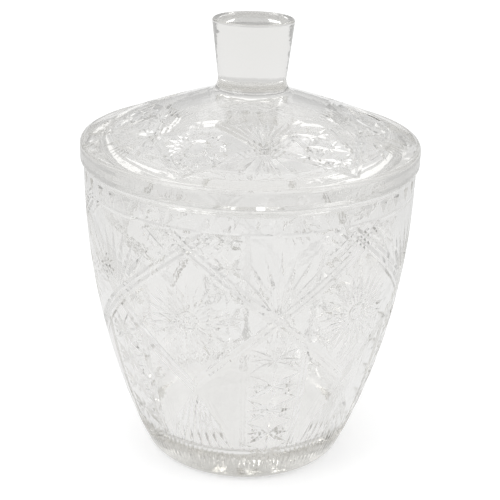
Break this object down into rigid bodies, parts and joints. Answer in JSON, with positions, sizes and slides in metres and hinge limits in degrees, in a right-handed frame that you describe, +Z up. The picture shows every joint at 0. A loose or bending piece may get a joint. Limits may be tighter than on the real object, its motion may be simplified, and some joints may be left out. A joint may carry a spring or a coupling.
{
  "type": "covered powder jar",
  "caption": "Bowl-shaped covered powder jar in clear pressed glass, with a domed lift-off lid and a solid tapered knob.",
  "frame": {"origin": "centre of the jar's flat foot, on the surface that it stands on", "axes": "+Z up along the axis of the jar, the lid and the knob; the pieces are round, so X and Y are any two directions across"},
  "size_m": [0.112, 0.112, 0.1503],
  "materials": {
    "jar_glass": "clear pressed glass, fire-polished, with cut-style relief outside",
    "lid_glass": "clear pressed glass, fire-polished, plain knob, with cut-style relief outside"
  },
  "bodies": {
    "jar": {"jar": "jar_glass"},
    "lid": {"lid": "lid_glass"}
  },
  "joints": [
    {"name": "lid_lift", "type": "slide", "parent": "jar", "child": "lid", "axis": [0, 0, 1], "range_m": [0, 0.06]}
  ]
}
